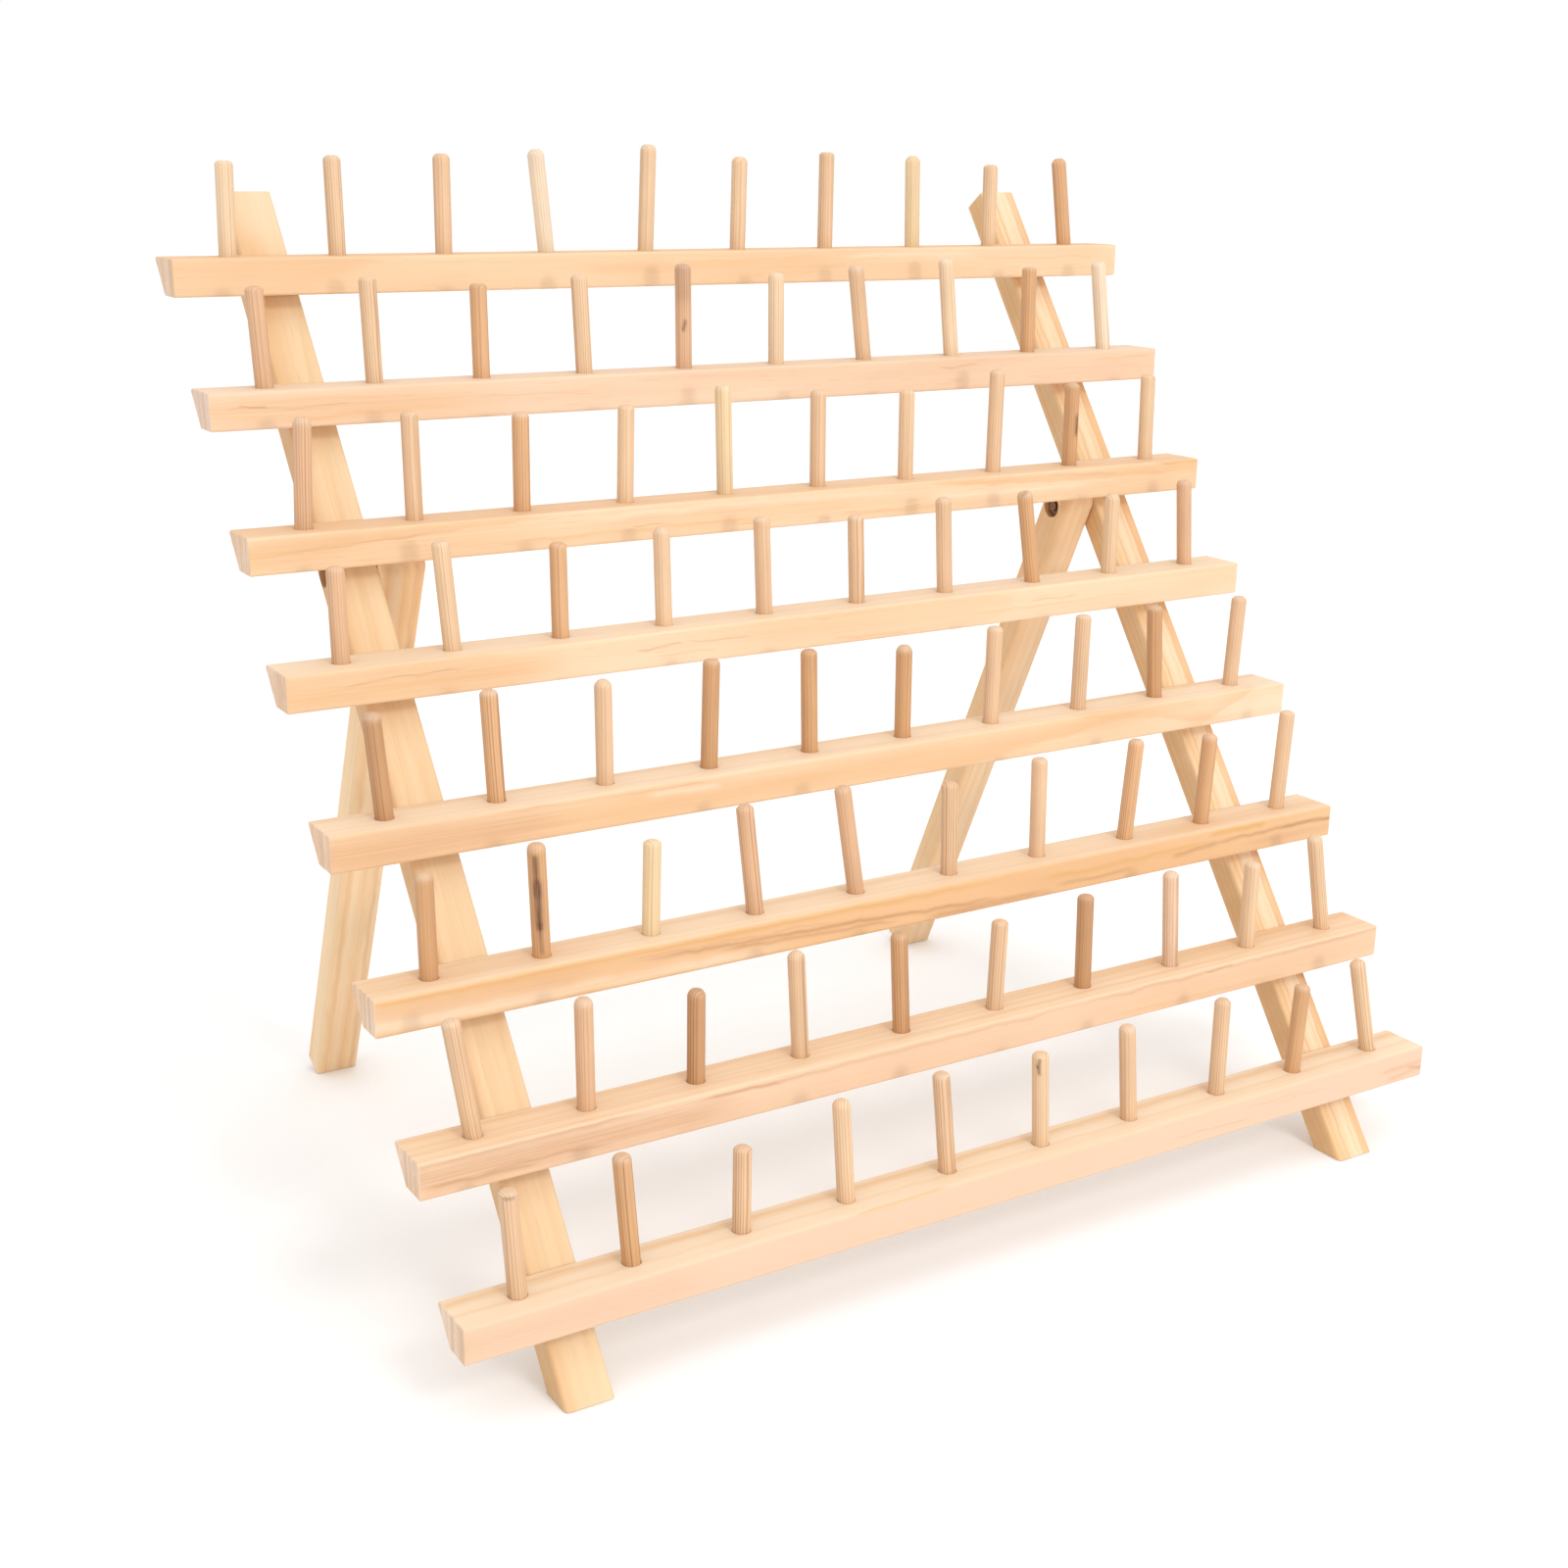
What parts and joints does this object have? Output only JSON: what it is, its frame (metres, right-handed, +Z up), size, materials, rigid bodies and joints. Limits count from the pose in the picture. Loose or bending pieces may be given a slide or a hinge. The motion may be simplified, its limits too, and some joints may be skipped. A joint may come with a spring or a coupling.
{
  "type": "thread spool rack",
  "caption": "Folding wooden rack: leaning rails of upright dowel pegs hold spools of thread, and hinged rear legs prop the frame on a table.",
  "frame": {"origin": "on the table, under the middle of the rack's bounding box, legs open", "axes": "+X along the rails to the right as seen from the front, +Y to the back, +Z up"},
  "size_m": [0.402, 0.2868, 0.3664],
  "materials": {
    "rail_pine": "bare planed pine",
    "peg_dowel": "bare sanded dowel, each of its own tone",
    "upright_pine": "bare planed pine, a little yellower",
    "leg_pine": "bare planed pine",
    "fastener_steel": "browned steel"
  },
  "bodies": {
    "frame": {"rail_1": "rail_pine", "rail_2": "rail_pine", "rail_3": "rail_pine", "rail_4": "rail_pine", "rail_5": "rail_pine", "rail_6": "rail_pine", "rail_7": "rail_pine", "rail_8": "rail_pine", "peg_row_1": "peg_dowel", "peg_row_2": "peg_dowel", "peg_row_3": "peg_dowel", "peg_row_4": "peg_dowel", "peg_row_5": "peg_dowel", "peg_row_6": "peg_dowel", "peg_row_7": "peg_dowel", "peg_row_8": "peg_dowel", "left_upright": "upright_pine", "right_upright": "upright_pine", "left_rail_screws": "fastener_steel", "right_rail_screws": "fastener_steel", "left_pivot_bolt": "fastener_steel", "right_pivot_bolt": "fastener_steel", "left_pivot_nut": "fastener_steel", "right_pivot_nut": "fastener_steel"},
    "left_rear_leg": {"left_rear_leg": "leg_pine"},
    "right_rear_leg": {"right_rear_leg": "leg_pine"}
  },
  "joints": [
    {"name": "left_leg_fold", "type": "hinge", "parent": "frame", "child": "left_rear_leg", "pos_m": [-0.1458, 0.03064, 0.22767], "axis": [-1, 0, 0], "range_deg": [0, 61.5]},
    {"name": "right_leg_fold", "type": "hinge", "parent": "frame", "child": "right_rear_leg", "pos_m": [0.1458, 0.03064, 0.22767], "axis": [-1, 0, 0], "range_deg": [0, 61.5]}
  ]
}
